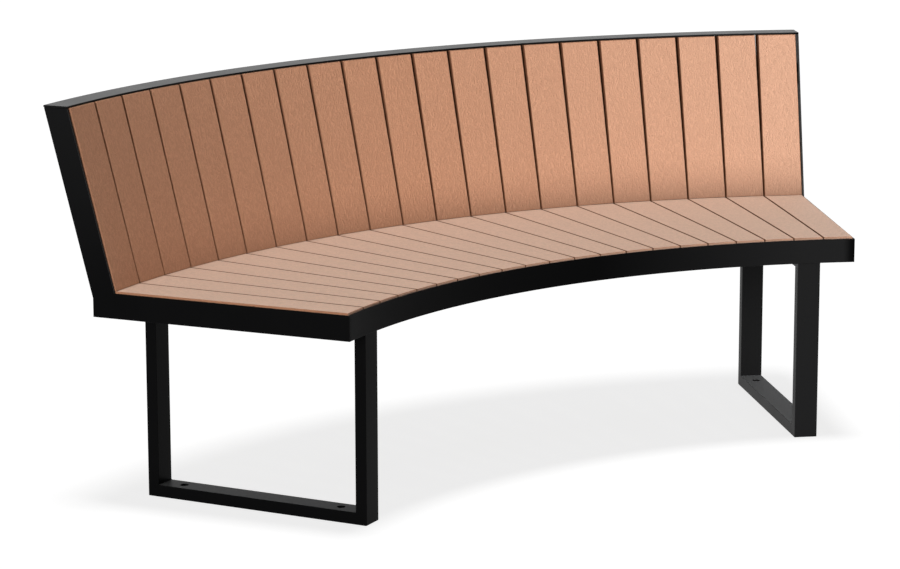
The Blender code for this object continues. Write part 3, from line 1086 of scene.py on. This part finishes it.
def weld_bead(bm, start, end):
    """A rippled bead between two points."""
    run = end - start
    steps = 2 * max(2, round(0.5 * run.length / BEAD_STEP))
    turn = run.to_track_quat("Z", "Y").to_matrix().to_4x4()
    made = bmesh.ops.create_circle(bm, cap_ends=True, segments=BEAD_SIDES, radius=THIN_BEAD_RADIUS,
                                   matrix=Matrix.Translation(start) @ turn)
    cap = made["verts"][0].link_faces[0]
    for step in range(steps):
        pulled = bmesh.ops.extrude_face_region(bm, geom=[cap])["geom"]
        cap = next(item for item in pulled if isinstance(item, bmesh.types.BMFace))
        centre = start + run * ((step + 1) / steps)
        radius = BEAD_RADIUS if step % 2 == 0 else THIN_BEAD_RADIUS
        old_centre = cap.calc_center_median()
        for corner in cap.verts:
            corner.co = centre + (corner.co - old_centre).normalized() * radius


print("a bead is", round(2000.0 * BEAD_RADIUS, 1), "mm thick")

# %% [markdown]
# ## Beads on the frame
#
# The beads run along both sides of the leg bars and the ribs where they cross a rail, and along the
# inner faces of the end plates. Where ribs and plates meet the fascia and the band, beads stand
# upright in the corners. All the beads of one leg, rib or plate make one piece.

# %% Beads on the frame
BEAD_OUT = 0.0006


def seat_rail_bead(bm, name, point):
    """A bead under a seat rail, along a line on the ground that point gives for each radius."""
    inner = RAIL_MIDDLES[name] - 0.5 * RAIL_WIDTH
    lift = Vector((0.0, 0.0, SEAT_RAIL_BOTTOM - BEAD_OUT))
    weld_bead(bm, point(inner) + lift, point(inner + RAIL_WIDTH) + lift)


def leg_side(side, radius, aside):
    """A point beside the middle line of a leg's top bar, no further than the bar reaches."""
    reached = min(max(radius, LEG_FRONT), LEG_REAR)
    return leg_line(side, reached) + tangent(side * LEG_HEADING) * aside


def back_rail_bead(bm, along, angle, aside):
    """A bead up the rear face of a back rail, at a distance aside from an angle's plane."""
    ends = []
    for place in (along - 0.5 * RAIL_WIDTH, along + 0.5 * RAIL_WIDTH):
        radius, height = back_point(place, BACK_RAIL_FAR + BEAD_OUT)
        ends.append(ring_place(angle, radius, height, aside))
    weld_bead(bm, *ends)


def upright_bead(bm, radius, angle, aside, low, high):
    """A bead up a corner that stands upright."""
    weld_bead(bm, ring_place(angle, radius, low, aside), ring_place(angle, radius, high, aside))


def plate_beads(bm, angle, aside):
    """All the beads on one face of a rib or an end plate."""
    for name in RAIL_MIDDLES:
        seat_rail_bead(bm, name, lambda radius: ring_place(angle, radius, 0.0, aside))
    for along in BACK_RAIL_PLACES.values():
        back_rail_bead(bm, along, angle, aside)
    low = FRAME_BOTTOM + 2.0 * BEAD_RADIUS
    upright_bead(bm, FASCIA_BACK + BEAD_OUT, angle, aside, low, SEAT_RAIL_BOTTOM - BEAD_RADIUS)
    upright_bead(bm, BAND_RADIUS - BEAD_OUT, angle, aside, low, HEEL_TOP - BEAD_RADIUS)


def finish_beads(bm, name):
    """Turn the beads of one part of the frame into a piece."""
    bmesh.ops.transform(bm, matrix=TO_RING, verts=bm.verts)
    beads = finish_piece(bm, name, "black_steel", steel_finish)
    print(name, "has", len(beads.data.polygons), "faces")


for word, side in SIDES.items():
    bm = bmesh.new()
    for aside in (-0.5 * TUBE_WIDTH - BEAD_OUT, 0.5 * TUBE_WIDTH + BEAD_OUT):
        for name in RAIL_MIDDLES:
            seat_rail_bead(bm, name, lambda radius: leg_side(side, radius, aside))
    finish_beads(bm, f"{word}_leg_beads")
    bm = bmesh.new()
    plate_beads(bm, side * 0.5 * ARC, -side * (PLATE + BEAD_OUT))
    finish_beads(bm, f"{word}_plate_beads")
for word, angle in RIB_ANGLES.items():
    bm = bmesh.new()
    for aside in (-0.5 * RIB_THICKNESS - BEAD_OUT, 0.5 * RIB_THICKNESS + BEAD_OUT):
        plate_beads(bm, angle, aside)
    finish_beads(bm, f"{word}_rib_beads")

# %% [markdown]
# ## The floor and the world
#
# The photograph has a white ground with one soft shadow below the bench. White is a matter of what
# the camera sees: the world shows white to camera, glossy and transmission rays, and lights the
# bench at a plain level otherwise. The floor does the same, but part of what it shows is real
# light, so the shadow stays.

# %% Floor and world
FLOOR_RADIUS = 60.0
FLOOR_SIDES = 64
FLOOR_COLOUR = (0.85, 0.85, 0.85, 1.0)
FLOOR_SHOWN_COLOUR = (0.44, 0.44, 0.44, 1.0)
FLOOR_SHOWN_GLOW = 0.80
WORLD_LEVEL = 0.131
WHITE = (1.0, 1.0, 1.0, 1.0)


def shown_directly(tree):
    """1 for camera, glossy and transmission rays, and 0 for the light that falls on the bench."""
    path = add_node(tree, "ShaderNodeLightPath").outputs
    either = calculate(tree, "MAXIMUM", path["Is Camera Ray"], path["Is Glossy Ray"])
    return calculate(tree, "MAXIMUM", either, path["Is Transmission Ray"])


def end_recipe(tree, kind, lighting, shown):
    """Close a recipe with one shader that lights the bench and one that the camera sees."""
    chosen = add_node(tree, "ShaderNodeMixShader", {0: shown_directly(tree), 1: lighting, 2: shown})
    add_node(tree, kind, {"Surface": chosen.outputs[0]})


def floor_finish():
    """A pale floor that the camera sees as white, but for the shadow."""
    material = bpy.data.materials.new("studio_floor")
    material.use_nodes = True
    tree = material.node_tree
    tree.nodes.clear()
    plain = add_node(tree, "ShaderNodeBsdfDiffuse", {"Color": FLOOR_COLOUR})
    shaded = add_node(tree, "ShaderNodeBsdfDiffuse", {"Color": FLOOR_SHOWN_COLOUR})
    glow = add_node(tree, "ShaderNodeEmission", {"Color": WHITE, "Strength": FLOOR_SHOWN_GLOW})
    shown = add_node(tree, "ShaderNodeAddShader", {0: shaded.outputs[0], 1: glow.outputs[0]})
    end_recipe(tree, "ShaderNodeOutputMaterial", plain.outputs[0], shown.outputs[0])
    return material


def make_floor():
    """A disc on the ground, wide enough to reach past the picture on every side."""
    bm = bmesh.new()
    bmesh.ops.create_circle(bm, cap_ends=True, segments=FLOOR_SIDES, radius=FLOOR_RADIUS)
    mesh = make_mesh(bm, "studio_floor")
    mesh.materials.append(floor_finish())
    floor = add_object("studio_floor", mesh)
    floor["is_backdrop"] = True
    return floor


def make_world():
    """An even fill for the bench, and plain white for the camera."""
    world = bpy.data.worlds.new("studio")
    world.use_nodes = True
    tree = world.node_tree
    tree.nodes.clear()
    fill = add_node(tree, "ShaderNodeBackground", {"Color": WHITE, "Strength": WORLD_LEVEL})
    white = add_node(tree, "ShaderNodeBackground", {"Color": WHITE, "Strength": 1.0})
    end_recipe(tree, "ShaderNodeOutputWorld", fill.outputs[0], white.outputs[0])
    bpy.context.scene.world = world


floor = make_floor()
make_world()
print("the floor is", round(2.0 * FLOOR_RADIUS), "m across")

# %% [markdown]
# ## The lamps
#
# The main lamp is a wide, high sun, and it stands a little behind the bench, so the one shadow is
# soft and lies below the bench. A low, broad lamp at the left gives the back its slow rise in
# brightness from left to right. Light linking keeps that lamp off the floor, as a flag does in a
# studio, because it would throw a long second shadow. The world fills the rest evenly.

# %% Lamps
OVERHEAD_STRENGTH = 1.30
OVERHEAD_SPREAD = math.radians(12.5)
OVERHEAD_TILT = math.radians(2.0)
SIDE_STRENGTH = 4.37
SIDE_SPREAD = math.radians(30.0)
SIDE_HEADING = math.radians(61.5)
SIDE_HEIGHT = math.radians(9.0)


def add_sun(name, strength, spread, turns):
    """A lamp whose light comes from far away, softer the more it spreads."""
    sun = bpy.data.lights.new(name, "SUN")
    sun.energy = strength
    sun.angle = spread
    lamp = add_object(name, sun)
    lamp.matrix_world = turns
    return lamp


def spare_floor(lamp, floor):
    """Keep a lamp's light off the floor, as a flag does in a studio."""
    flag = bpy.data.collections.new("flagged_floor")
    flag.objects.link(floor)
    flag.collection_objects[0].light_linking.link_state = "EXCLUDE"
    lamp.light_linking.receiver_collection = flag


overhead_turns = Matrix.Rotation(-OVERHEAD_TILT, 4, "X")
side_turns = Matrix.Rotation(-SIDE_HEADING, 4, "Z") @ Matrix.Rotation(LEVEL - SIDE_HEIGHT, 4, "X")
add_sun("overhead_lamp", OVERHEAD_STRENGTH, OVERHEAD_SPREAD, overhead_turns)
side_lamp = add_sun("side_lamp", SIDE_STRENGTH, SIDE_SPREAD, side_turns)
spare_floor(side_lamp, floor)
bpy.context.scene.view_settings.view_transform = "Standard"
print("two lamps are in place, and", side_lamp.name, "spares the floor")

# %% [markdown]
#
# The dressed bench is meant to fill the same box as the imported model. How far it has grown past
# that box is printed.

low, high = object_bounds()
growth = [*(cad_low - low), *(high - cad_high)]
print("grown by, in mm:", [round(1000.0 * value, 2) for value in growth])
